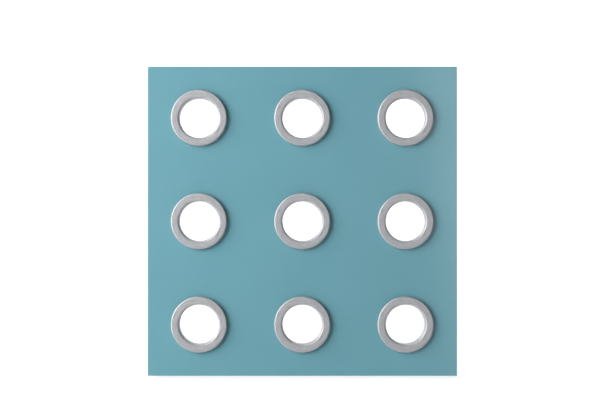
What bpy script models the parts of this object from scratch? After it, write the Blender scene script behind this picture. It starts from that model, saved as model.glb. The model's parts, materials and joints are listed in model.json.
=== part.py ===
"""Tic tac toe toss: a leaning square board with nine ringed holes and folding rear legs."""

import math

import bmesh
import bpy
from mathutils import Matrix, Vector

# Driving sizes in metres, angles in degrees.
SIDE = 0.914
PANEL_THICK = 0.012
PANEL_EASE = 0.0015
GAP = 0.0003
LEAN = math.radians(25.0)
SPREAD = math.radians(42.0)

RING_OUTER = 0.0828
RING_BORE = 0.0585
RING_PROUD = 0.012
RING_INNER_ROUND = 0.0060
RING_OUTER_ROUND = 0.0042
SLEEVE_OUTER = 0.0615
SLEEVE_BACK = 0.0205
NUT_OUTER = 0.0730
NUT_THICK = 0.0065
NUT_EASE = 0.002
ROUND_STEPS = 32
SMALL_STEPS = 24
STUD_STEPS = 20
SCREW_STEPS = 12
CORNER_STEPS = 4

RAIL_THICK = 0.018
RAIL_DEPTH = 0.050
RAIL_EASE = 0.001
BEVEL_START = 0.040

PIVOT_UP = 0.700
LEG_WIDE = 0.040
LEG_THICK = 0.020
LEG_TOP = 0.042
LEG_ROUND = 0.010
LEG_EASE = 0.0015
CROSSBAR_DOWN = 0.531
CROSSBAR_TALL = 0.045
CROSSBAR_THICK = 0.018
CROSSBAR_EASE = 0.002
SCREW_SPREAD = 0.024
SCREW_HEAD = 0.0042
SCREW_CONE = 0.0035
SCREW_SHANK = 0.0022
SCREW_POINT = 0.0010
SCREW_REACH = 0.030
SCREW_SUNK = 0.0005

SPACER_THICK = 0.002
SPACER_OUTER = 0.012
WASHER_THICK = 0.0015
WASHER_OUTER = 0.011
STUD_RADIUS = 0.0040
STUD_CHAMFER = 0.001
STUD_IN_KNOB = 0.013
BORE_RADIUS = 0.0041
INSERT_OUTER = 0.0065
INSERT_LONG = 0.0140
KNOB_THICK = 0.022
KNOB_RADIUS = 0.021
KNOB_LOBES = 6
KNOB_WAVE = 0.11

BOARD_PAD_THICK = 0.004
BOARD_PAD_WIDE = 0.014
BOARD_PAD_LONG = 0.070
BOARD_PAD_INSET = 0.040
BOARD_PAD_BACK = 0.046
LEG_PAD_THICK = 0.006
LEG_PAD_WIDE = 0.038
LEG_PAD_INSET = 0.001
PAD_TAPER = 0.0005
CUTTER_SPARE = 0.005

# Positions that follow from the sizes.
HALF = SIDE / 2
PITCH = SIDE / 3
RAIL_FRONT = PANEL_THICK + GAP
RAIL_BACK = RAIL_FRONT + RAIL_DEPTH
PIVOT_BACK = RAIL_FRONT + RAIL_DEPTH / 2
RAIL_INSIDE = HALF - RAIL_THICK
LEG_OUTSIDE = RAIL_INSIDE - SPACER_THICK - 2 * GAP
LEG_INSIDE = LEG_OUTSIDE - LEG_THICK
KNOB_FACE = LEG_INSIDE - WASHER_THICK - 2 * GAP
LEG_SLOPE = SPREAD - LEAN
FLOOR_UP = BEVEL_START * math.sin(LEAN) + BOARD_PAD_THICK + GAP
PIVOT_HIGH = PIVOT_UP * math.cos(LEAN) - PIVOT_BACK * math.sin(LEAN) + FLOOR_UP
PIVOT_DEEP = PIVOT_UP * math.sin(LEAN) + PIVOT_BACK * math.cos(LEAN)
LEG_CUT = LEG_PAD_THICK + GAP


def leg_end(across):
    """Height along the leg, from its pivot, of the level cut at its foot."""
    drop = LEG_CUT - PIVOT_HIGH - across * math.sin(LEG_SLOPE)
    return drop / math.cos(LEG_SLOPE)


HEEL_DEEP = (
    PIVOT_DEEP
    + LEG_WIDE / 2 * math.cos(LEG_SLOPE)
    - leg_end(LEG_WIDE / 2) * math.sin(LEG_SLOPE)
)
CENTRE_DEEP = HEEL_DEEP / 2

ROWS = (("top", 2.5), ("middle", 1.5), ("bottom", 0.5))
COLUMNS = (("left", -1.0), ("centre", 0.0), ("right", 1.0))
SIDES = (("left", -1.0), ("right", 1.0))

MATERIALS = {
    "teal_lacquer": ((0.10, 0.25, 0.30), 0.0, 0.43),
    "oiled_beech": ((0.46, 0.29, 0.16), 0.0, 0.45),
    "satin_aluminium": ((0.41, 0.42, 0.43), 0.75, 0.46),
    "black_nylon": ((0.03, 0.03, 0.03), 0.0, 0.55),
    "zinc_steel": ((0.55, 0.55, 0.56), 1.0, 0.30),
    "brass": ((0.60, 0.44, 0.18), 1.0, 0.30),
    "black_rubber": ((0.02, 0.02, 0.02), 0.0, 0.80),
}


def clear_scene():
    for thing in list(bpy.data.objects):
        bpy.data.objects.remove(thing, do_unlink=True)


def make_materials():
    made = {}
    for name, (colour, metallic, roughness) in MATERIALS.items():
        mat = bpy.data.materials.new(name)
        mat.use_nodes = True
        shader = mat.node_tree.nodes["Principled BSDF"]
        shader.inputs["Base Color"].default_value = (*colour, 1.0)
        shader.inputs["Metallic"].default_value = metallic
        shader.inputs["Roughness"].default_value = roughness
        made[name] = mat
    return made


def make_empty(name, place, turn):
    empty = bpy.data.objects.new(name, None)
    empty.location = place
    empty.rotation_euler = (turn, 0.0, 0.0)
    bpy.context.scene.collection.objects.link(empty)
    return empty


def make_object(name, mesh_data, parent, mat, place=(0.0, 0.0, 0.0)):
    bmesh.ops.recalc_face_normals(mesh_data, faces=mesh_data.faces[:])
    mesh = bpy.data.meshes.new(name)
    mesh_data.to_mesh(mesh)
    mesh_data.free()
    thing = bpy.data.objects.new(name, mesh)
    bpy.context.scene.collection.objects.link(thing)
    thing.parent = parent
    thing.location = place
    if mat is not None:
        mesh.materials.append(mat)
    return thing


def box_shape(low, high):
    shape = bmesh.new()
    bmesh.ops.create_cube(shape, size=1.0)
    for vert in shape.verts:
        for axis in range(3):
            share = vert.co[axis] + 0.5
            vert.co[axis] = low[axis] + share * (high[axis] - low[axis])
    return shape


def prism_shape(outline, start, end):
    """A (y, z) outline pushed along X from start to end."""
    shape = bmesh.new()
    verts = [shape.verts.new((start, y, z)) for y, z in outline]
    face = shape.faces.new(verts)
    pushed = bmesh.ops.extrude_face_region(shape, geom=[face])
    moved = [item for item in pushed["geom"] if isinstance(item, bmesh.types.BMVert)]
    bmesh.ops.translate(shape, verts=moved, vec=(end - start, 0.0, 0.0))
    return shape


def turned_shape(profile, axis, steps=ROUND_STEPS, closed=True):
    """A (radius, along) profile turned about X or Y; a closed one makes a ring."""
    shape = bmesh.new()
    loops = []
    for radius, along in profile:
        loop = []
        for step in range(steps):
            angle = 2 * math.pi * (step + 0.5) / steps
            side = radius * math.cos(angle)
            up = radius * math.sin(angle)
            point = (along, side, up) if axis == "X" else (side, along, up)
            loop.append(shape.verts.new(point))
        loops.append(loop)
    pairs = list(zip(loops, loops[1:]))
    if closed:
        pairs.append((loops[-1], loops[0]))
    for first, second in pairs:
        for step in range(steps):
            after = (step + 1) % steps
            shape.faces.new((first[step], first[after], second[after], second[step]))
    if not closed:
        shape.faces.new(loops[0])
        shape.faces.new(loops[-1])
    return shape


def ease_edges(thing, width, segments=1):
    bevel = thing.modifiers.new("ease", "BEVEL")
    bevel.width = width
    bevel.segments = segments
    bevel.limit_method = "ANGLE"
    bevel.angle_limit = math.radians(30.0)


def drill(thing, cutter):
    cut = thing.modifiers.new("drill", "BOOLEAN")
    cut.operation = "DIFFERENCE"
    cut.solver = "EXACT"
    cut.object = cutter
    cutter.hide_render = True
    cutter.display_type = "WIRE"


def shade(thing, degrees=35.0):
    thing.data.shade_smooth()
    thing.data.set_sharp_from_angle(angle=math.radians(degrees))


def rounded(middle, radius, start, end, steps):
    """Points on a round corner from the start angle to the end angle."""
    points = []
    for step in range(steps + 1):
        angle = math.radians(start + (end - start) * step / steps)
        along = middle[1] - radius * math.sin(angle)
        points.append((middle[0] + radius * math.cos(angle), along))
    return points


def make_panel(board, mat):
    low = (-HALF, 0.0, 0.0)
    high = (HALF, PANEL_THICK, SIDE)
    panel = make_object("panel", box_shape(low, high), board, mat)
    ease_edges(panel, PANEL_EASE)
    radius = SLEEVE_OUTER + GAP
    for row, up in ROWS:
        for column, across in COLUMNS:
            profile = [(radius, -CUTTER_SPARE), (radius, PANEL_THICK + CUTTER_SPARE)]
            shape = turned_shape(profile, "Y", closed=False)
            place = (across * PITCH, 0.0, up * PITCH)
            cutter = make_object("hole_" + row + "_" + column, shape, board, None, place)
            drill(panel, cutter)


def ring_profile():
    inner = (RING_BORE + RING_INNER_ROUND, RING_INNER_ROUND - RING_PROUD)
    outer = (RING_OUTER - RING_OUTER_ROUND, RING_OUTER_ROUND - RING_PROUD)
    profile = [(RING_BORE, SLEEVE_BACK)]
    profile += rounded(inner, RING_INNER_ROUND, 180.0, 90.0, 2)
    profile += rounded(outer, RING_OUTER_ROUND, 90.0, 0.0, 2)
    profile += [(RING_OUTER, -GAP), (SLEEVE_OUTER, -GAP), (SLEEVE_OUTER, SLEEVE_BACK)]
    return profile


def make_rings(board, mats):
    nut_front = PANEL_THICK + GAP
    nut_back = nut_front + NUT_THICK
    nut_inner = SLEEVE_OUTER + GAP
    nut = [
        (nut_inner, nut_front),
        (NUT_OUTER, nut_front),
        (NUT_OUTER, nut_back - NUT_EASE),
        (NUT_OUTER - NUT_EASE, nut_back),
        (nut_inner, nut_back),
    ]
    for row, up in ROWS:
        for column, across in COLUMNS:
            place = (across * PITCH, 0.0, up * PITCH)
            name = row + "_" + column
            shape = turned_shape(ring_profile(), "Y")
            ring = make_object("ring_" + name, shape, board, mats["satin_aluminium"], place)
            shade(ring)
            shape = turned_shape(nut, "Y")
            clamp = make_object("ring_nut_" + name, shape, board, mats["black_nylon"], place)
            shade(clamp)


def make_rails(board, mat):
    low = (-HALF, RAIL_FRONT, SIDE - RAIL_THICK)
    high = (HALF, RAIL_BACK, SIDE)
    top = make_object("top_rail", box_shape(low, high), board, mat)
    ease_edges(top, RAIL_EASE)
    rise = (RAIL_BACK - BEVEL_START) * math.tan(LEAN)
    outline = [
        (RAIL_FRONT, 0.0),
        (BEVEL_START, 0.0),
        (RAIL_BACK, rise),
        (RAIL_BACK, RAIL_THICK),
        (RAIL_FRONT, RAIL_THICK),
    ]
    bottom = make_object("bottom_rail", prism_shape(outline, -HALF, HALF), board, mat)
    ease_edges(bottom, RAIL_EASE)
    for side, sign in SIDES:
        edges = sorted((sign * RAIL_INSIDE, sign * HALF))
        low = (edges[0], RAIL_FRONT, RAIL_THICK + GAP)
        high = (edges[1], RAIL_BACK, SIDE - RAIL_THICK - GAP)
        rail = make_object(side + "_rail", box_shape(low, high), board, mat)
        ease_edges(rail, RAIL_EASE)
        start = sign * (RAIL_INSIDE - CUTTER_SPARE)
        end = sign * (RAIL_INSIDE + INSERT_LONG + 2 * GAP)
        radius = INSERT_OUTER + GAP
        shape = turned_shape([(radius, start), (radius, end)], "X", SMALL_STEPS, closed=False)
        place = (0.0, PIVOT_BACK, PIVOT_UP)
        drill(rail, make_object(side + "_insert_hole", shape, board, None, place))


def make_pivots(board, mats):
    """Inserts, studs, knobs and washers share one line across the board."""
    place = (0.0, PIVOT_BACK, PIVOT_UP)
    for side, sign in SIDES:
        start = sign * (RAIL_INSIDE + GAP)
        end = sign * (RAIL_INSIDE + GAP + INSERT_LONG)
        ring = [
            (BORE_RADIUS, start),
            (INSERT_OUTER, start),
            (INSERT_OUTER, end),
            (BORE_RADIUS, end),
        ]
        insert = turned_shape(ring, "X", SMALL_STEPS)
        shade(make_object(side + "_insert_nut", insert, board, mats["brass"], place))

        tip = sign * (RAIL_INSIDE + INSERT_LONG - STUD_CHAMFER)
        shoulder = sign * (RAIL_INSIDE + INSERT_LONG - 2 * STUD_CHAMFER)
        back = sign * (KNOB_FACE - STUD_IN_KNOB)
        rod = [
            (STUD_RADIUS - STUD_CHAMFER, tip),
            (STUD_RADIUS, shoulder),
            (STUD_RADIUS, back),
        ]
        stud = turned_shape(rod, "X", STUD_STEPS, closed=False)
        shade(make_object(side + "_pivot_stud", stud, board, mats["zinc_steel"], place))

        for name, face, thick, outer in (
            ("_spacer", RAIL_INSIDE - GAP, SPACER_THICK, SPACER_OUTER),
            ("_knob_washer", LEG_INSIDE - GAP, WASHER_THICK, WASHER_OUTER),
        ):
            near = sign * face
            far = sign * (face - thick)
            ring = [(BORE_RADIUS, near), (outer, near), (outer, far), (BORE_RADIUS, far)]
            washer = turned_shape(ring, "X", SMALL_STEPS)
            shade(make_object(side + name, washer, board, mats["zinc_steel"], place))

        make_knob(side, sign, board, mats["black_nylon"], place)


def make_knob(side, sign, board, mat, place):
    """Rounded lobes round a hub, with a blind hole for the stud."""
    # along the axis, share of the full radius, share of the lobes' full wave
    layers = (
        (0.0, 0.62, 0.0),
        (0.006, 0.66, 0.0),
        (0.009, 0.92, 0.7),
        (0.011, 1.0, 1.0),
        (0.019, 1.0, 1.0),
        (KNOB_THICK, 0.86, 0.8),
    )
    shape = bmesh.new()
    loops = []
    for along, size, lobes in layers:
        loop = []
        for step in range(SMALL_STEPS):
            angle = 2 * math.pi * step / SMALL_STEPS
            wave = KNOB_WAVE * lobes * math.cos(KNOB_LOBES * angle)
            radius = KNOB_RADIUS * size * (1.0 + wave)
            across = sign * (KNOB_FACE - along)
            loop.append(
                shape.verts.new((across, radius * math.cos(angle), radius * math.sin(angle)))
            )
        loops.append(loop)
    for first, second in zip(loops, loops[1:]):
        for step in range(SMALL_STEPS):
            after = (step + 1) % SMALL_STEPS
            shape.faces.new((first[step], first[after], second[after], second[step]))
    shape.faces.new(loops[0])
    shape.faces.new(loops[-1])
    knob = make_object(side + "_knob", shape, board, mat, place)
    start = sign * (KNOB_FACE + CUTTER_SPARE)
    end = sign * (KNOB_FACE - STUD_IN_KNOB - GAP)
    hole = turned_shape([(BORE_RADIUS, start), (BORE_RADIUS, end)], "X", STUD_STEPS, closed=False)
    drill(knob, make_object(side + "_knob_hole", hole, board, None, place))
    shade(knob)


def leg_outline():
    """Side view about the pivot: stop face against the panel, level foot."""
    half = LEG_WIDE / 2
    reach = PIVOT_BACK - PANEL_THICK - GAP
    sine, cosine = math.sin(SPREAD), math.cos(SPREAD)
    low_corner = (reach - half * cosine) / sine
    stop_edge = (LEG_TOP * sine - reach) / cosine
    outline = [(-half, leg_end(-half)), (-half, low_corner), (stop_edge, LEG_TOP)]
    middle = (half - LEG_ROUND, LEG_TOP - LEG_ROUND)
    for step in range(CORNER_STEPS + 1):
        angle = math.radians(90.0 * (1.0 - step / CORNER_STEPS))
        across = middle[0] + LEG_ROUND * math.cos(angle)
        outline.append((across, middle[1] + LEG_ROUND * math.sin(angle)))
    outline.append((half, leg_end(half)))
    return outline


def screw_profile(sign, slack):
    """Countersunk screw through a leg; slack turns it into its clearance hole."""
    head = LEG_OUTSIDE - SCREW_SUNK
    tip = LEG_INSIDE - SCREW_REACH - slack
    points = [
        (SCREW_HEAD + slack, head),
        (SCREW_SHANK + slack, head - SCREW_CONE),
        (SCREW_SHANK + slack, tip + SCREW_CONE),
        (SCREW_POINT + slack, tip),
    ]
    if slack:
        points.insert(0, (SCREW_HEAD + slack, head + CUTTER_SPARE))
    return [(radius, sign * along) for radius, along in points]


def make_legs(legs, mats):
    crossbar_low = -CROSSBAR_DOWN - CROSSBAR_TALL / 2
    crossbar_high = -CROSSBAR_DOWN + CROSSBAR_TALL / 2
    reach = LEG_INSIDE - GAP
    low = (-reach, -CROSSBAR_THICK / 2, crossbar_low)
    high = (reach, CROSSBAR_THICK / 2, crossbar_high)
    crossbar = make_object("leg_crossbar", box_shape(low, high), legs, mats["oiled_beech"])
    ease_edges(crossbar, CROSSBAR_EASE)

    for side, sign in SIDES:
        ends = sorted((sign * LEG_INSIDE, sign * LEG_OUTSIDE))
        shape = prism_shape(leg_outline(), ends[0], ends[1])
        leg = make_object(side + "_leg", shape, legs, mats["oiled_beech"])
        ease_edges(leg, LEG_EASE)
        start = sign * (LEG_INSIDE - CUTTER_SPARE)
        end = sign * (LEG_OUTSIDE + CUTTER_SPARE)
        hole = [(BORE_RADIUS, start), (BORE_RADIUS, end)]
        shape = turned_shape(hole, "X", SMALL_STEPS, closed=False)
        drill(leg, make_object(side + "_leg_hole", shape, legs, None))

        for label, offset in (("upper", SCREW_SPREAD / 2), ("lower", -SCREW_SPREAD / 2)):
            place = (0.0, 0.0, -CROSSBAR_DOWN + offset)
            name = "crossbar_screw_" + side + "_" + label
            shape = turned_shape(screw_profile(sign, 0.0), "X", SCREW_STEPS, closed=False)
            make_object(name, shape, legs, mats["zinc_steel"], place)
            for target, word in ((leg, "_leg_cut"), (crossbar, "_bar_cut")):
                cut = screw_profile(sign, GAP)
                shape = turned_shape(cut, "X", SCREW_STEPS, closed=False)
                drill(target, make_object(name + word, shape, legs, None, place))


def make_pads(stand, mats):
    """Pads lie level under the bottom rail's bevel, so they are made in world directions."""
    lift = (BOARD_PAD_BACK - BEVEL_START) * math.tan(LEAN)
    near = BOARD_PAD_BACK * math.cos(LEAN) + lift * math.sin(LEAN)
    far = near + BOARD_PAD_WIDE
    outline = [
        (near + PAD_TAPER, 0.0),
        (far - PAD_TAPER, 0.0),
        (far, BOARD_PAD_THICK),
        (near, BOARD_PAD_THICK),
    ]
    outside = HALF - BOARD_PAD_INSET
    for side, sign in SIDES:
        ends = sorted((sign * outside, sign * (outside - BOARD_PAD_LONG)))
        shape = prism_shape(outline, ends[0], ends[1])
        make_object(side + "_board_pad", shape, stand, mats["black_rubber"])


def make_leg_pads(legs, mats):
    """Pads lie level under the feet; the turn undoes the slope of the legs."""
    turn = Matrix.Rotation(-LEG_SLOPE, 4, "X")
    middle = -leg_end(0.0) * math.sin(LEG_SLOPE)
    half = LEG_PAD_WIDE / 2
    low = -PIVOT_HIGH
    outline = [
        (middle - half + PAD_TAPER, low),
        (middle + half - PAD_TAPER, low),
        (middle + half, low + LEG_PAD_THICK),
        (middle - half, low + LEG_PAD_THICK),
    ]
    for side, sign in SIDES:
        ends = sorted((sign * (LEG_INSIDE + LEG_PAD_INSET), sign * (LEG_OUTSIDE - LEG_PAD_INSET)))
        shape = prism_shape(outline, ends[0], ends[1])
        bmesh.ops.transform(shape, matrix=turn, verts=shape.verts[:])
        make_object(side + "_leg_pad", shape, legs, mats["black_rubber"])


def build():
    clear_scene()
    mats = make_materials()
    board = make_empty("board_frame", (0.0, -CENTRE_DEEP, FLOOR_UP), -LEAN)
    stand = make_empty("stand_frame", (0.0, -CENTRE_DEEP, 0.0), 0.0)
    pivot = Vector((0.0, PIVOT_DEEP - CENTRE_DEEP, PIVOT_HIGH))
    legs = make_empty("leg_pivot", pivot, LEG_SLOPE)
    make_panel(board, mats["teal_lacquer"])
    make_rings(board, mats)
    make_rails(board, mats["teal_lacquer"])
    make_pivots(board, mats)
    make_legs(legs, mats)
    make_pads(stand, mats)
    make_leg_pads(legs, mats)
    bpy.context.view_layer.update()


build()
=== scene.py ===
import json
import math

import bmesh
import bpy
from mathutils import Matrix, Vector


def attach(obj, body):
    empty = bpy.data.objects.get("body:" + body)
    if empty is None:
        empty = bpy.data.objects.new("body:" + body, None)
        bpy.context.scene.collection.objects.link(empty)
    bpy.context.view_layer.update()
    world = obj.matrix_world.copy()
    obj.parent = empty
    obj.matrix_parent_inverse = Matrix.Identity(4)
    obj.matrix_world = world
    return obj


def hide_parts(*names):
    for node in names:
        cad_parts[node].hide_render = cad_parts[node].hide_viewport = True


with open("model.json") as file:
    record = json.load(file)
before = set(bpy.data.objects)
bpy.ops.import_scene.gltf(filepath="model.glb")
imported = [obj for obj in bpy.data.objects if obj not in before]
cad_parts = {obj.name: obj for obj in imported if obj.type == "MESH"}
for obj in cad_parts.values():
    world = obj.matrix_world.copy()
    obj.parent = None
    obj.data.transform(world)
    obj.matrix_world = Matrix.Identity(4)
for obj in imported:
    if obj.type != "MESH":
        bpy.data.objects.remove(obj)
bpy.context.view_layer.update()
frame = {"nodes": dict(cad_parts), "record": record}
nodes = frame["nodes"]
print("frame loaded:", len(nodes), "nodes")

# how the board stands: same sizes as the solid model, in metres
stand = {
    "side": 0.914,
    "lean": math.radians(25.0),
    "spread": math.radians(42.0),
    "panelThick": 0.012,
    "railThick": 0.018,
    "railDepth": 0.050,
    "bevelStart": 0.040,
    "gap": 0.0003,
    "pivotUp": 0.700,
    "floorUp": 0.0212047,
    "centreDeep": 0.2721248,
}
stand["railFront"] = stand["panelThick"] + stand["gap"]
stand["railBack"] = stand["railFront"] + stand["railDepth"]
stand["pivotBack"] = stand["railFront"] + stand["railDepth"] / 2
# rows and columns in squares: up from the bottom edge, and across from the middle
rowNames = (("top", 2.5), ("middle", 1.5), ("bottom", 0.5))
columnNames = (("left", -1.0), ("centre", 0.0), ("right", 1.0))
cells = [
    (rowName + "_" + columnName, up, across)
    for rowName, up in rowNames
    for columnName, across in columnNames
]
sideNames = (("left", -1.0), ("right", 1.0))

# board directions: local X across, local Y into the board, local Z up the board
boardMatrix = Matrix.Translation((0.0, -stand["centreDeep"], stand["floorUp"])) @ Matrix.Rotation(
    -stand["lean"], 4, "X"
)
pivotPoint = boardMatrix @ Vector((0.0, stand["pivotBack"], stand["pivotUp"]))
legMatrix = Matrix.Translation(pivotPoint) @ Matrix.Rotation(
    stand["spread"] - stand["lean"], 4, "X"
)


# small helpers for meshes


def addPiece(name, shape, body, material, place=Matrix.Identity(4), smooth=35.0):
    bmesh.ops.recalc_face_normals(shape, faces=shape.faces[:])
    mesh = bpy.data.meshes.new(name)
    shape.to_mesh(mesh)
    shape.free()
    piece = bpy.data.objects.new(name, mesh)
    bpy.context.scene.collection.objects.link(piece)
    piece.matrix_world = place
    mesh.materials.append(material)
    if smooth:
        mesh.shade_smooth()
        mesh.set_sharp_from_angle(angle=math.radians(smooth))
    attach(piece, body)
    return piece


def easeEdges(piece, width, segments=3, angle=25.0):
    bevel = piece.modifiers.new("ease", "BEVEL")
    bevel.width = width
    bevel.segments = segments
    bevel.limit_method = "ANGLE"
    bevel.angle_limit = math.radians(angle)
    bevel.harden_normals = True


def turnProfile(profile, axis, steps, closed=True, radiusAt=None):
    # profile is (radius, along); radiusAt can shape the radius by angle and point number
    shape = bmesh.new()
    loops = []
    for number, (radius, along) in enumerate(profile):
        loop = []
        for step in range(steps):
            angle = 2 * math.pi * step / steps
            reach = radiusAt(number, angle, radius) if radiusAt else radius
            a, b = reach * math.cos(angle), reach * math.sin(angle)
            loop.append(shape.verts.new((along, a, b) if axis == "X" else (a, along, b)))
        loops.append(loop)
    pairs = list(zip(loops, loops[1:]))
    if closed:
        pairs.append((loops[-1], loops[0]))
    for first, second in pairs:
        for step in range(steps):
            after = (step + 1) % steps
            shape.faces.new((first[step], first[after], second[after], second[step]))
    if not closed:
        shape.faces.new(loops[0])
        shape.faces.new(loops[-1])
    return shape


def pushOutline(outline, start, end):
    # a side view (y, z) pushed along X
    shape = bmesh.new()
    face = shape.faces.new([shape.verts.new((start, y, z)) for y, z in outline])
    pushed = bmesh.ops.extrude_face_region(shape, geom=[face])
    moved = [item for item in pushed["geom"] if isinstance(item, bmesh.types.BMVert)]
    bmesh.ops.translate(shape, verts=moved, vec=(end - start, 0.0, 0.0))
    return shape


def arcPoints(middle, radius, start, end, steps):
    # corner points (radius, along) with along falling towards the front
    points = []
    for step in range(steps + 1):
        angle = math.radians(start + (end - start) * step / steps)
        points.append(
            (middle[0] + radius * math.cos(angle), middle[1] - radius * math.sin(angle))
        )
    return points


# finishes: lacquer, metal, beech, nylon, rubber and the floor


def newMaterial(name, settings):
    material = bpy.data.materials.new(name)
    material.use_nodes = True
    tree = material.node_tree
    shader = tree.nodes["Principled BSDF"]
    for socket, value in settings.items():
        shader.inputs[socket].default_value = value
    return material, tree, shader


def addNode(tree, kind, **values):
    node = tree.nodes.new(kind)
    for key, value in values.items():
        setattr(node, key, value)
    return node


def objectPoint(tree, scale=(1.0, 1.0, 1.0)):
    where = addNode(tree, "ShaderNodeTexCoord")
    mapping = addNode(tree, "ShaderNodeMapping")
    mapping.inputs["Scale"].default_value = scale
    tree.links.new(where.outputs["Object"], mapping.inputs["Vector"])
    return mapping.outputs["Vector"]


def addNoise(tree, point, scale, detail=3.0, rough=0.5):
    noise = addNode(tree, "ShaderNodeTexNoise")
    noise.inputs["Scale"].default_value = scale
    noise.inputs["Detail"].default_value = detail
    noise.inputs["Roughness"].default_value = rough
    tree.links.new(point, noise.inputs["Vector"])
    return noise.outputs["Fac"]


def remap(tree, value, low, high, fromLow=0.3, fromHigh=0.7):
    ranged = addNode(tree, "ShaderNodeMapRange")
    ranged.inputs["From Min"].default_value = fromLow
    ranged.inputs["From Max"].default_value = fromHigh
    ranged.inputs["To Min"].default_value = low
    ranged.inputs["To Max"].default_value = high
    tree.links.new(value, ranged.inputs["Value"])
    return ranged.outputs["Result"]


def mixColours(tree, factor, first, second):
    mix = addNode(tree, "ShaderNodeMix", data_type="RGBA")
    colourSockets = [socket for socket in mix.inputs if socket.type == "RGBA"]
    for socket, value in zip(colourSockets, (first, second)):
        if isinstance(value, tuple):
            socket.default_value = (*value, 1.0)
        else:
            tree.links.new(value, socket)
    tree.links.new(factor, mix.inputs["Factor"])
    return [socket for socket in mix.outputs if socket.type == "RGBA"][0]


def addBump(tree, shader, height, strength, distance):
    bump = addNode(tree, "ShaderNodeBump")
    bump.inputs["Strength"].default_value = strength
    bump.inputs["Distance"].default_value = distance
    tree.links.new(height, bump.inputs["Height"])
    tree.links.new(bump.outputs["Normal"], shader.inputs["Normal"])


def makeLacquer():
    # sprayed satin lacquer: slow cloudiness, faint orange peel, a soft clear coat
    spray = {
        "deep": (0.102, 0.248, 0.291),
        "pale": (0.109, 0.260, 0.304),
        "cloudScale": 5.0,
        "rough": (0.40, 0.47),
        "satinScale": 22.0,
        "peelScale": 420.0,
        "peelStrength": 0.35,
        "peelDepth": 0.00006,
    }
    material, tree, shader = newMaterial(
        "teal_lacquer",
        {"Coat Weight": 0.5, "Coat Roughness": 0.15, "IOR": 1.45, "Specular IOR Level": 0.35},
    )
    point = objectPoint(tree)
    cloud = addNoise(tree, point, spray["cloudScale"], 4.0)
    colour = mixColours(tree, remap(tree, cloud, 0.0, 1.0), spray["deep"], spray["pale"])
    tree.links.new(colour, shader.inputs["Base Color"])
    satin = addNoise(tree, point, spray["satinScale"], 5.0)
    tree.links.new(remap(tree, satin, *spray["rough"]), shader.inputs["Roughness"])
    peel = addNoise(tree, point, spray["peelScale"], 2.0)
    addBump(tree, shader, peel, spray["peelStrength"], spray["peelDepth"])
    return material


def makeTurnedMetal(name, metal):
    # satin metal, with the fine circular lines and short streaks that brushing leaves
    brush = {"across": 420.0, "along": 3.2, "share": 0.45, "detail": 4.0, "strength": 0.4}
    material, tree, shader = newMaterial(name, {"Metallic": metal["metallic"]})
    where = addNode(tree, "ShaderNodeTexCoord")
    split = addNode(tree, "ShaderNodeSeparateXYZ")
    tree.links.new(where.outputs["Object"], split.inputs["Vector"])
    # the circular lines follow the distance from the turning axis
    flat = addNode(tree, "ShaderNodeCombineXYZ")
    first, second = ("X", "Z") if metal["axis"] == "Y" else ("Y", "Z")
    tree.links.new(split.outputs[first], flat.inputs["X"])
    tree.links.new(split.outputs[second], flat.inputs["Y"])
    length = addNode(tree, "ShaderNodeVectorMath", operation="LENGTH")
    tree.links.new(flat.outputs["Vector"], length.inputs[0])
    line = addNode(tree, "ShaderNodeTexNoise", noise_dimensions="1D")
    line.inputs["Scale"].default_value = metal["lineScale"]
    line.inputs["Detail"].default_value = brush["detail"]
    tree.links.new(length.outputs["Value"], line.inputs["W"])
    # the streaks follow the direction round the axis, with that distance as their height
    around = addNode(tree, "ShaderNodeVectorMath", operation="NORMALIZE")
    tree.links.new(flat.outputs["Vector"], around.inputs[0])
    outward = addNode(tree, "ShaderNodeMath", operation="MULTIPLY")
    outward.inputs[1].default_value = brush["across"]
    tree.links.new(length.outputs["Value"], outward.inputs[0])
    lift = addNode(tree, "ShaderNodeCombineXYZ")
    tree.links.new(outward.outputs["Value"], lift.inputs["Z"])
    swept = addNode(tree, "ShaderNodeVectorMath", operation="MULTIPLY_ADD")
    swept.inputs[1].default_value = (brush["along"],) * 3
    tree.links.new(around.outputs["Vector"], swept.inputs[0])
    tree.links.new(lift.outputs["Vector"], swept.inputs[2])
    cloud = addNoise(tree, swept.outputs["Vector"], 1.0, brush["detail"])
    both = addNode(tree, "ShaderNodeMath", operation="MULTIPLY_ADD")
    both.inputs[1].default_value = 1.0 - brush["share"]
    tree.links.new(line.outputs["Fac"], both.inputs[0])
    tree.links.new(remap(tree, cloud, 0.0, brush["share"], 0.32, 0.68), both.inputs[2])
    mixed = both.outputs["Value"]
    colour = mixColours(tree, remap(tree, mixed, 0.0, 1.0), metal["dark"], metal["light"])
    tree.links.new(colour, shader.inputs["Base Color"])
    tree.links.new(remap(tree, mixed, *metal["rough"]), shader.inputs["Roughness"])
    addBump(tree, shader, line.outputs["Fac"], brush["strength"], metal["lineDepth"])
    return material


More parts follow.
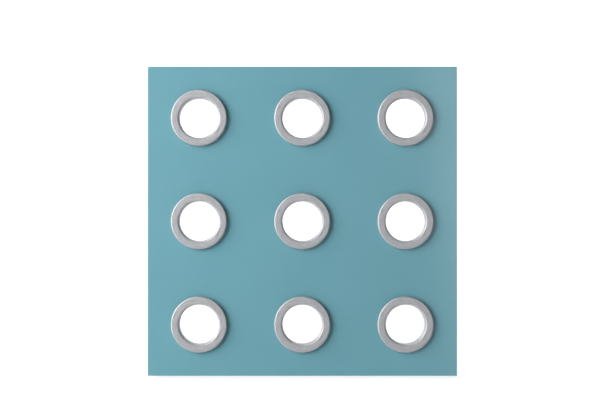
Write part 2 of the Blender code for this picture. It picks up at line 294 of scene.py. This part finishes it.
def makeBeech():
    # beech: long grain with short dark flecks, rubbed with oil
    beech = {
        "pale": (0.46, 0.285, 0.155),
        "dark": (0.33, 0.185, 0.092),
        "fleck": (0.20, 0.10, 0.045),
        "rough": (0.38, 0.52),
        "grainStretch": (60.0, 60.0, 3.0),
        "grainScale": 1.6,
        "fleckStretch": (900.0, 900.0, 110.0),
        "fleckShare": 0.75,
        "fleckStrength": 0.25,
        "fleckDepth": 0.0001,
    }
    material, tree, shader = newMaterial(
        "oiled_beech", {"Coat Weight": 0.12, "Coat Roughness": 0.35, "IOR": 1.46}
    )
    along = objectPoint(tree, scale=beech["grainStretch"])
    grain = addNoise(tree, along, beech["grainScale"], 6.0, 0.62)
    band = remap(tree, grain, 0.0, 1.0, 0.35, 0.68)
    colour = mixColours(tree, band, beech["pale"], beech["dark"])
    fleck = addNoise(tree, objectPoint(tree, scale=beech["fleckStretch"]), 1.0, 2.0)
    spots = remap(tree, fleck, 0.0, beech["fleckShare"], 0.62, 0.74)
    colour = mixColours(tree, spots, colour, beech["fleck"])
    tree.links.new(colour, shader.inputs["Base Color"])
    tree.links.new(remap(tree, grain, *beech["rough"]), shader.inputs["Roughness"])
    addBump(tree, shader, fleck, beech["fleckStrength"], beech["fleckDepth"])
    return material


def makeMoulded(name, mould):
    # moulded plastic or rubber with a fine spark-eroded grain
    material, tree, shader = newMaterial(name, {"Specular IOR Level": 0.4})
    point = objectPoint(tree)
    cloud = addNoise(tree, point, mould["cloudScale"], 4.0)
    colour = mixColours(tree, remap(tree, cloud, 0.0, 1.0), mould["dark"], mould["pale"])
    tree.links.new(colour, shader.inputs["Base Color"])
    grain = addNoise(tree, point, mould["grainScale"], 3.0)
    tree.links.new(remap(tree, grain, *mould["rough"]), shader.inputs["Roughness"])
    addBump(tree, shader, grain, mould["grainStrength"], mould["grainDepth"])
    return material


def makeFloor():
    # a white acrylic table, lit softly from beneath
    table = {
        "dark": (0.33, 0.33, 0.33),
        "pale": (0.35, 0.35, 0.35),
        "cloudScale": 1.5,
        "rough": 0.9,
        "glow": 0.80,
    }
    material, tree, shader = newMaterial(
        "pale_floor",
        {
            "Roughness": table["rough"],
            "Emission Color": (1.0, 1.0, 1.0, 1.0),
            "Emission Strength": table["glow"],
        },
    )
    cloud = addNoise(tree, objectPoint(tree), table["cloudScale"], 3.0)
    colour = mixColours(tree, remap(tree, cloud, 0.0, 1.0), table["dark"], table["pale"])
    tree.links.new(colour, shader.inputs["Base Color"])
    return material


lacquer = makeLacquer()
beechWood = makeBeech()
ringMetal = makeTurnedMetal(
    "satin_aluminium",
    {
        "dark": (0.282, 0.275, 0.284),
        "light": (0.374, 0.366, 0.376),
        "rough": (0.46, 0.56),
        "lineScale": 2600.0,
        "lineDepth": 0.00004,
        "axis": "Y",
        "metallic": 0.35,
    },
)
zincSteel = makeTurnedMetal(
    "zinc_steel",
    {
        "dark": (0.50, 0.51, 0.52),
        "light": (0.60, 0.60, 0.60),
        "rough": (0.28, 0.40),
        "lineScale": 3500.0,
        "lineDepth": 0.00003,
        "axis": "X",
        "metallic": 1.0,
    },
)
turnedBrass = makeTurnedMetal(
    "brass",
    {
        "dark": (0.56, 0.40, 0.15),
        "light": (0.66, 0.49, 0.21),
        "rough": (0.25, 0.36),
        "lineScale": 3500.0,
        "lineDepth": 0.00003,
        "axis": "X",
        "metallic": 1.0,
    },
)
blackNylon = makeMoulded(
    "black_nylon",
    {
        "dark": (0.018, 0.018, 0.019),
        "pale": (0.028, 0.028, 0.030),
        "rough": (0.42, 0.60),
        "cloudScale": 40.0,
        "grainScale": 1400.0,
        "grainStrength": 0.5,
        "grainDepth": 0.00008,
    },
)
blackRubber = makeMoulded(
    "black_rubber",
    {
        "dark": (0.012, 0.012, 0.012),
        "pale": (0.024, 0.023, 0.022),
        "rough": (0.70, 0.90),
        "cloudScale": 40.0,
        "grainScale": 900.0,
        "grainStrength": 0.5,
        "grainDepth": 0.00015,
    },
)
print("materials made")


# panel: front face, eased edges, nine holes and back face, all one skin


def cellPoints(up, across, steps, pitch, limit):
    # the hole's circle and the square round it, point for point at the same angles
    circle, square = [], []
    middle = (across * pitch, (up - 1.5) * pitch)
    for step in range(steps):
        angle = 2 * math.pi * step / steps
        c, s = math.cos(angle), math.sin(angle)
        circle.append((middle[0], middle[1], c, s))
        far = pitch / 2 / max(abs(c), abs(s))
        x = max(-limit, min(limit, middle[0] + far * c))
        z = max(-limit, min(limit, middle[1] + far * s))
        square.append((x, z))
    return circle, square


def makePanel():
    panel = {
        "holeRadius": 0.0618,
        "holeEase": 0.0006,
        "ease": 0.0018,
        "easeSteps": 4,
        "margin": 0.0008,  # a narrow flat strip that keeps the shading of the face flat
        "steps": 96,
        "near": 0.000001,
        "weld": 0.000005,
    }
    side, thick = stand["side"], stand["panelThick"]
    pitch, half = side / 3, side / 2
    ease, flat = panel["ease"], half - panel["ease"] - panel["margin"]
    count, radius, holeEase = panel["steps"], panel["holeRadius"], panel["holeEase"]
    hole = [
        (radius + holeEase, 0.0),
        (radius, holeEase),
        (radius, thick - holeEase),
        (radius + holeEase, thick),
    ]
    shape = bmesh.new()
    border = set()

    def addFace(corners):
        shape.faces.new([shape.verts.new(corner) for corner in corners])

    def onBorder(value):
        return abs(value) > flat - panel["near"]

    for _, up, across in cells:
        circle, square = cellPoints(up, across, count, pitch, flat)
        border.update((round(x, 7), round(z, 7)) for x, z in square if onBorder(x) or onBorder(z))
        for step in range(count):
            after = (step + 1) % count
            x0, z0, c0, s0 = circle[step]
            x1, z1, c1, s1 = circle[after]
            rims = []
            for reach, deep in hole:
                start = (x0 + reach * c0, deep, z0 + reach * s0 + half)
                end = (x1 + reach * c1, deep, z1 + reach * s1 + half)
                rims.append((start, end))
            for near, far in zip(rims, rims[1:]):
                addFace((near[0], near[1], far[1], far[0]))
            for deep, rim in ((0.0, rims[0]), (thick, rims[-1])):
                edge0 = (square[step][0], deep, square[step][1] + half)
                edge1 = (square[after][0], deep, square[after][1] + half)
                addFace((rim[0], rim[1], edge1, edge0))
    # the rounded rim: each border point moves out and back along a quarter circle
    border = sorted(border, key=lambda point: math.atan2(point[1], point[0]))
    rim = [(0.0, 0.0)]
    for step in range(panel["easeSteps"] + 1):
        angle = math.pi / 2 * step / panel["easeSteps"]
        rim.append((panel["margin"] + ease * math.sin(angle), ease * (1 - math.cos(angle))))
    rim += [(out, thick - deep) for out, deep in reversed(rim)]
    for number, (x, z) in enumerate(border):
        nextX, nextZ = border[(number + 1) % len(border)]
        for (out0, deep0), (out1, deep1) in zip(rim, rim[1:]):
            corners = []
            for px, pz, out, deep in (
                (x, z, out0, deep0),
                (nextX, nextZ, out0, deep0),
                (nextX, nextZ, out1, deep1),
                (x, z, out1, deep1),
            ):
                dx = math.copysign(out, px) if onBorder(px) else 0.0
                dz = math.copysign(out, pz) if onBorder(pz) else 0.0
                corners.append((px + dx, deep, pz + dz + half))
            addFace(corners)
    bmesh.ops.remove_doubles(shape, verts=shape.verts[:], dist=panel["weld"])
    piece = addPiece("board_panel", shape, "board", lacquer, boardMatrix, smooth=40.0)
    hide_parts("panel")


makePanel()
print("panel made")


# trim rings and the slotted nuts that clamp them


def ringProfile(ring):
    front, under = -ring["proud"], -stand["gap"]
    strip, edge, endEase = ring["strip"], ring["edge"], ring["endEase"]
    inner = (ring["bore"] + ring["innerRound"], front + ring["innerRound"])
    outer = (ring["outer"] - ring["outerRound"], front + ring["outerRound"])
    profile = [(ring["bore"], ring["back"]), (ring["bore"], ring["mouth"]), (ring["bore"], 0.0)]
    profile += arcPoints(inner, ring["innerRound"], 180.0, 90.0, ring["arcSteps"])
    profile += [(inner[0] + strip, front), (outer[0] - strip, front)]
    profile += arcPoints(outer, ring["outerRound"], 90.0, 0.0, ring["arcSteps"])
    profile += [
        (ring["outer"], under - edge),
        (ring["outer"] - edge, under),
        (ring["sleeve"] + strip, under),
        (ring["sleeve"], under + strip),
        (ring["sleeve"], ring["back"] - endEase),
        (ring["sleeve"] - endEase, ring["back"]),
    ]
    return profile


def makeRings():
    ring = {
        "outer": 0.0828,
        "bore": 0.0585,
        "proud": 0.012,
        "innerRound": 0.0060,
        "outerRound": 0.0042,
        "arcSteps": 10,
        "strip": 0.0004,  # narrow strips beside the rounds keep the flats' shading flat
        "edge": 0.0003,
        "mouth": 0.004,
        "sleeve": 0.0615,
        "back": 0.0205,
        "endEase": 0.0006,
        "steps": 144,
    }
    nut = {
        "inner": 0.0617,
        "outer": 0.0730,
        "thick": 0.0065,
        "innerEase": 0.0005,
        "outerEase": 0.0006,
        "backEase": 0.0016,
        "backFacet": 0.0005,
        "mouthEase": 0.0008,
        "slots": 6,
        "slotShare": 0.07,
        "slotDeep": 0.0035,
        "slotReach": 0.004,
        "steps": 144,
    }
    inner, outer = nut["inner"], nut["outer"]
    front = stand["railFront"]
    back = front + nut["thick"]
    nutProfile = [
        (inner, front + nut["innerEase"]),
        (inner + nut["innerEase"], front),
        (outer - nut["outerEase"], front),
        (outer, front + nut["outerEase"]),
        (outer, back - nut["backEase"]),
        (outer - nut["backFacet"], back - nut["backFacet"]),
        (outer - nut["backEase"], back),
        (inner + nut["mouthEase"], back),
        (inner, back - nut["mouthEase"]),
    ]

    def slotted(number, angle, radius):
        turn = (angle / (2 * math.pi) * nut["slots"]) % 1.0
        if radius > outer - nut["slotReach"] and turn < nut["slotShare"]:
            return radius - nut["slotDeep"]
        return radius

    for name, up, across in cells:
        middle = Matrix.Translation((across * stand["side"] / 3, 0.0, up * stand["side"] / 3))
        place = boardMatrix @ middle
        shape = turnProfile(ringProfile(ring), "Y", ring["steps"])
        piece = addPiece("trim_ring_" + name, shape, "board", ringMetal, place, smooth=50.0)
        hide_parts("ring_" + name)
        shape = turnProfile(nutProfile, "Y", nut["steps"], radiusAt=slotted)
        piece = addPiece("slotted_nut_" + name, shape, "board", blackNylon, place)
        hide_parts("ring_nut_" + name)


makeRings()
print("rings made")


# rails behind the panel


def makeRails():
    rail = {"ease": 0.0014}
    top, half = stand["side"], stand["side"] / 2
    thick, gap = stand["railThick"], stand["gap"]
    front, back = stand["railFront"], stand["railBack"]
    rise = (back - stand["bevelStart"]) * math.tan(stand["lean"])

    def upright(low, high):
        return [(front, low), (back, low), (back, high), (front, high)]

    # the bottom rail is bevelled behind, so that it lies level when the board leans
    bottomOutline = [
        (front, 0.0),
        (stand["bevelStart"], 0.0),
        (back, rise),
        (back, thick),
        (front, thick),
    ]
    sideOutline = upright(thick + gap, top - thick - gap)
    solids = (
        ("top", upright(top - thick, top), -half, half),
        ("bottom", bottomOutline, -half, half),
        ("left", sideOutline, -half, thick - half),
        ("right", sideOutline, half - thick, half),
    )
    for name, outline, start, end in solids:
        shape = pushOutline(outline, start, end)
        piece = addPiece("frame_" + name, shape, "board", lacquer, boardMatrix)
        easeEdges(piece, rail["ease"], 3, 20.0)
        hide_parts(name + "_rail")


makeRails()


# legs and their bar


def makeLegs():
    leg = {
        "wide": 0.040,
        "thick": 0.020,
        "top": 0.042,
        "shoulder": 0.010,
        "shoulderSteps": 8,
        "footUp": 0.0063,  # the pad under the foot, and its gap
        "railSpace": 0.0026,  # the washer between leg and rail, and its gaps
        "ease": 0.0022,
    }
    bar = {"down": 0.531, "tall": 0.045, "thick": 0.018, "ease": 0.0030}
    slope = stand["spread"] - stand["lean"]
    half, top, shoulder = leg["wide"] / 2, leg["top"], leg["shoulder"]
    reach = stand["pivotBack"] - stand["panelThick"] - stand["gap"]
    sine, cosine = math.sin(stand["spread"]), math.cos(stand["spread"])

    def footEnd(across):
        return (leg["footUp"] - pivotPoint.z - across * math.sin(slope)) / math.cos(slope)

    outline = [
        (-half, footEnd(-half)),
        (-half, (reach - half * cosine) / sine),
        ((top * sine - reach) / cosine, top),
    ]
    for step in range(leg["shoulderSteps"] + 1):
        angle = math.radians(90.0 * (1 - step / leg["shoulderSteps"]))
        y = half - shoulder + shoulder * math.cos(angle)
        z = top - shoulder + shoulder * math.sin(angle)
        outline.append((y, z))
    outline.append((half, footEnd(half)))
    outside = stand["side"] / 2 - stand["railThick"] - leg["railSpace"]
    for side, sign in sideNames:
        start, end = sorted((sign * (outside - leg["thick"]), sign * outside))
        shape = pushOutline(outline, start, end)
        piece = addPiece(side + "_folding_leg", shape, "legs", beechWood, legMatrix)
        easeEdges(piece, leg["ease"], 3, 30.0)
        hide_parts(side + "_leg")
    across = outside - leg["thick"] - stand["gap"]
    y, z = bar["thick"] / 2, bar["tall"] / 2
    outline = [(-y, -z), (y, -z), (y, z), (-y, z)]
    shape = pushOutline(outline, -across, across)
    # the bar's own axes have its length along Z, so that its grain runs along it
    turn = Matrix.Rotation(math.radians(90.0), 4, "Y")
    bmesh.ops.transform(shape, matrix=turn, verts=shape.verts[:])
    place = legMatrix @ Matrix.Translation((0.0, 0.0, -bar["down"])) @ turn.inverted()
    piece = addPiece("cross_bar", shape, "legs", beechWood, place)
    easeEdges(piece, bar["ease"], 4, 30.0)
    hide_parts("leg_crossbar")


makeLegs()
print("frame and legs made")


# star knobs


def makeKnobs():
    knob = {"radius": 0.021, "lobes": 6, "wave": 0.11, "face": 0.4127, "steps": 144}
    # each layer: the way along the stud, the share of the radius, the share of the lobes' wave
    layers = [
        (0.0, 0.60, 0.0),
        (0.0006, 0.62, 0.0),
        (0.0055, 0.65, 0.0),
        (0.0075, 0.74, 0.35),
        (0.0088, 0.90, 0.85),
        (0.0102, 0.97, 1.0),
        (0.0125, 1.0, 1.0),
        (0.0165, 1.0, 1.0),
        (0.0188, 0.985, 1.0),
        (0.0204, 0.94, 0.95),
        (0.0214, 0.86, 0.8),
        (0.0218, 0.74, 0.4),
        (0.0219, 0.52, 0.1),
        (0.0216, 0.46, 0.0),
        (0.0212, 0.42, 0.0),
        (0.0212, 0.05, 0.0),
    ]
    place = boardMatrix @ Matrix.Translation((0.0, stand["pivotBack"], stand["pivotUp"]))

    def lobed(number, angle, radius):
        wave = knob["wave"] * layers[number][2]
        return radius * (1 + wave * math.cos(knob["lobes"] * angle))

    for side, sign in sideNames:
        profile = []
        for along, size, _ in layers:
            profile.append((knob["radius"] * size, sign * (knob["face"] - along)))
        shape = turnProfile(profile, "X", knob["steps"], closed=False, radiusAt=lobed)
        body = side + "_clamp"
        piece = addPiece(side + "_star_knob", shape, body, blackNylon, place, smooth=40.0)
        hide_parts(side + "_knob")


makeKnobs()


# solid parts that keep their own shape


def paintSolids():
    finishes = {
        "zinc_steel": zincSteel,
        "brass": turnedBrass,
        "black_rubber": blackRubber,
    }
    for part in frame["record"]["subparts"]:
        finish = finishes.get(part["material_slot"])
        if finish:
            nodes[part["node"]].data.materials.clear()
            nodes[part["node"]].data.materials.append(finish)


paintSolids()
print("knobs and fastenings made")


# floor, light and camera


def makeStage():
    # the air gives a low, cool fill light, and looks as pale as the table where it shows
    air = {"cool": (0.45, 0.95, 1.1), "pale": (1.0, 1.0, 1.0), "fill": 0.12, "shown": 0.90}
    bpy.ops.mesh.primitive_grid_add(x_subdivisions=8, y_subdivisions=8, size=60.0)
    floor = bpy.context.object
    floor.name = "studio_floor"
    floor.data.materials.append(makeFloor())
    world = bpy.data.worlds.new("studio_world")
    bpy.context.scene.world = world
    world.use_nodes = True
    tree = world.node_tree
    back = tree.nodes["Background"]
    shown = addNode(tree, "ShaderNodeLightPath").outputs["Is Camera Ray"]
    tree.links.new(mixColours(tree, shown, air["cool"], air["pale"]), back.inputs["Color"])
    strength = remap(tree, shown, air["fill"], air["shown"], 0.0, 1.0)
    tree.links.new(strength, back.inputs["Strength"])


def addSoftLight(name, place, target, settings):
    # strength is the brightness of the lit face, whatever its size
    wide, tall = settings["size"]
    light = bpy.data.lights.new(name, "AREA")
    light.shape = "RECTANGLE"
    light.size, light.size_y = wide, tall
    light.energy = settings["strength"] * wide * tall * math.pi
    lamp = bpy.data.objects.new(name, light)
    bpy.context.scene.collection.objects.link(lamp)
    lamp.location = place
    lamp.rotation_euler = (Vector(target) - Vector(place)).to_track_quat("-Z", "Y").to_euler()
    lamp.visible_camera = False
    return lamp


def makeLights():
    key = {"height": 30.0, "above": 20.0, "far": 4.6, "size": (4.2, 4.2), "strength": 9.2}
    behind = {"place": (0.3, 3.2, 3.0), "target": (0.2, 1.2, 0.0), "size": (5.0, 3.2), "strength": 3.4}
    # a tall panel in front and to the right, seen only as the sheen near the board's right edge
    fill = {"turn": 19.0, "far": 3.4, "size": (0.55, 2.4), "strength": 3.6}
    boardMiddle = boardMatrix @ Vector((0.0, 0.0, stand["side"] / 2))
    leaning = boardMatrix.to_3x3()
    across, up, out = (leaning @ Vector(way) for way in ((1, 0, 0), (0, 0, 1), (0, -1, 0)))
    height, above = math.radians(key["height"]), math.radians(key["above"])
    aim = (
        across * -math.cos(height) * math.cos(above)
        + up * math.cos(height) * math.sin(above)
        + out * math.sin(height)
    )
    addSoftLight("key_softbox", boardMiddle + aim * key["far"], boardMiddle, key)
    addSoftLight("backdrop_softbox", behind["place"], behind["target"], behind)
    turn = math.radians(fill["turn"])
    aim = across * math.sin(turn) + out * math.cos(turn)
    panel = addSoftLight("fill_panel", boardMiddle + aim * fill["far"], boardMiddle, fill)
    panel.visible_diffuse = False


def makeCamera():
    view = {
        "far": 3.2,
        "wideAtBoard": 1.7722,
        "shift": (-0.0038, 0.0354),
        "sensor": 36.0,
        "clipEnd": 200.0,
    }
    camera = bpy.data.cameras.new("front_camera")
    camera.sensor_fit = "HORIZONTAL"
    camera.sensor_width = view["sensor"]
    camera.lens = view["sensor"] * view["far"] / view["wideAtBoard"]
    camera.shift_x, camera.shift_y = view["shift"]
    camera.clip_end = view["clipEnd"]
    holder = bpy.data.objects.new("front_camera", camera)
    bpy.context.scene.collection.objects.link(holder)
    holder.matrix_world = (
        boardMatrix
        @ Matrix.Translation((0.0, -view["far"], stand["side"] / 2))
        @ Matrix.Rotation(math.radians(90.0), 4, "X")
    )
    bpy.context.scene.camera = holder


makeStage()
makeLights()
makeCamera()
bpy.context.scene.view_settings.view_transform = "Standard"
bpy.context.scene.view_settings.look = "None"
print("stage, lights and camera made")
